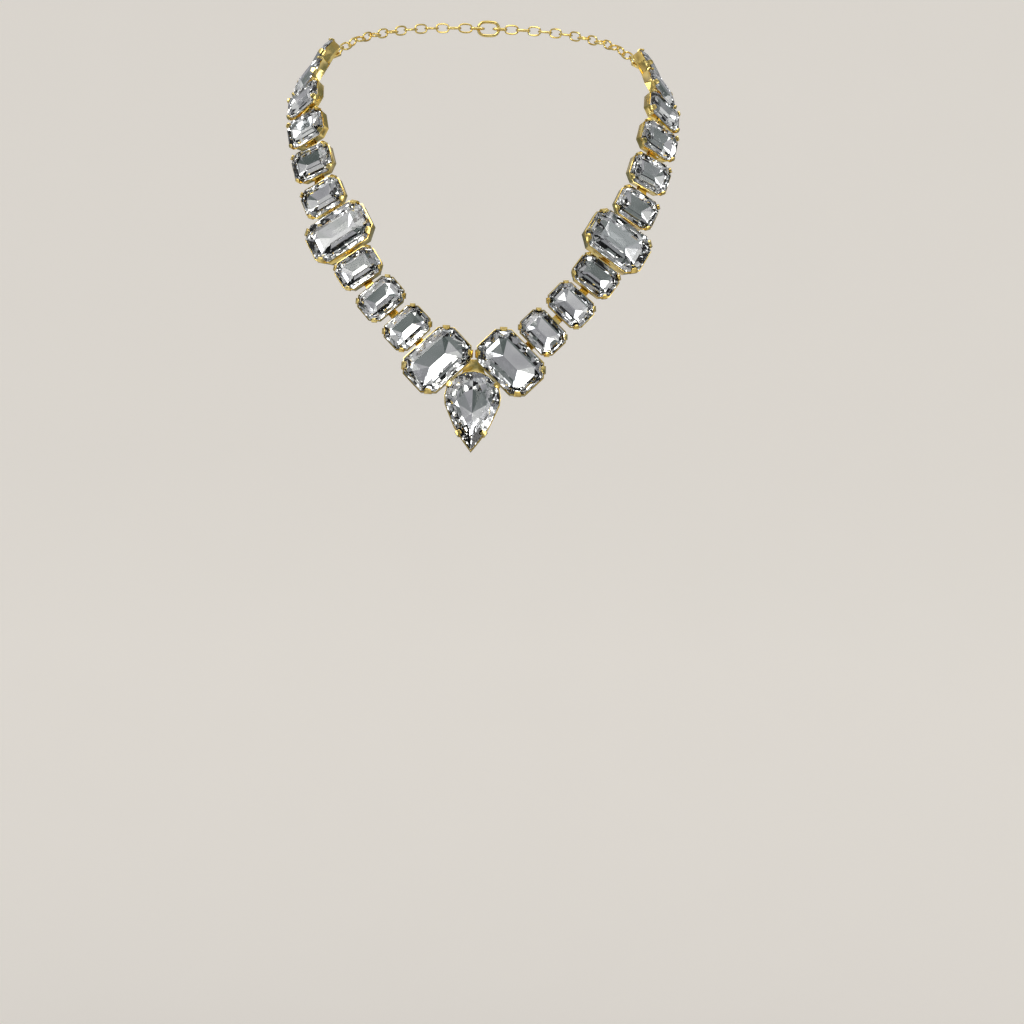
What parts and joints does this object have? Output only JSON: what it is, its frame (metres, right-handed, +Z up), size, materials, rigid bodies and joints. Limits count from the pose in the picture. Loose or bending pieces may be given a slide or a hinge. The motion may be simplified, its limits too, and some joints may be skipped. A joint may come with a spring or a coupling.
{
  "type": "bib necklace",
  "caption": "Statement necklace of large step cut octagon stones in claw settings, with a pear stone that points down from the V, chains and a clasp.",
  "frame": {"origin": "middle of the neck at the height of the nape, where the necklace sits on its wearer", "axes": "+X to the viewer's right as the necklace is worn, +Y from the throat to the nape, +Z up the neck"},
  "size_m": [0.1632, 0.1338, 0.1913],
  "materials": {
    "stone": "polished clear glass with a silver foil behind it",
    "metal": "polished yellow gold plate"
  },
  "bodies": {
    "root": {"stone_pear": "stone", "stone_right_01": "stone", "stone_right_02": "stone", "stone_right_03": "stone", "stone_right_04": "stone", "stone_right_05": "stone", "stone_right_06": "stone", "stone_right_07": "stone", "stone_right_08": "stone", "stone_right_09": "stone", "stone_right_10": "stone", "stone_right_11": "stone", "stone_left_01": "stone", "stone_left_02": "stone", "stone_left_03": "stone", "stone_left_04": "stone", "stone_left_05": "stone", "stone_left_06": "stone", "stone_left_07": "stone", "stone_left_08": "stone", "stone_left_09": "stone", "stone_left_10": "stone", "stone_left_11": "stone", "setting_centre": "metal", "setting_right_02": "metal", "setting_right_03": "metal", "setting_right_04": "metal", "setting_right_05": "metal", "setting_right_06": "metal", "setting_right_07": "metal", "setting_right_08": "metal", "setting_right_09": "metal", "setting_right_10": "metal", "setting_right_11": "metal", "setting_left_02": "metal", "setting_left_03": "metal", "setting_left_04": "metal", "setting_left_05": "metal", "setting_left_06": "metal", "setting_left_07": "metal", "setting_left_08": "metal", "setting_left_09": "metal", "setting_left_10": "metal", "setting_left_11": "metal", "chain_right": "metal", "chain_left": "metal", "clasp": "metal"}
  },
  "joints": []
}
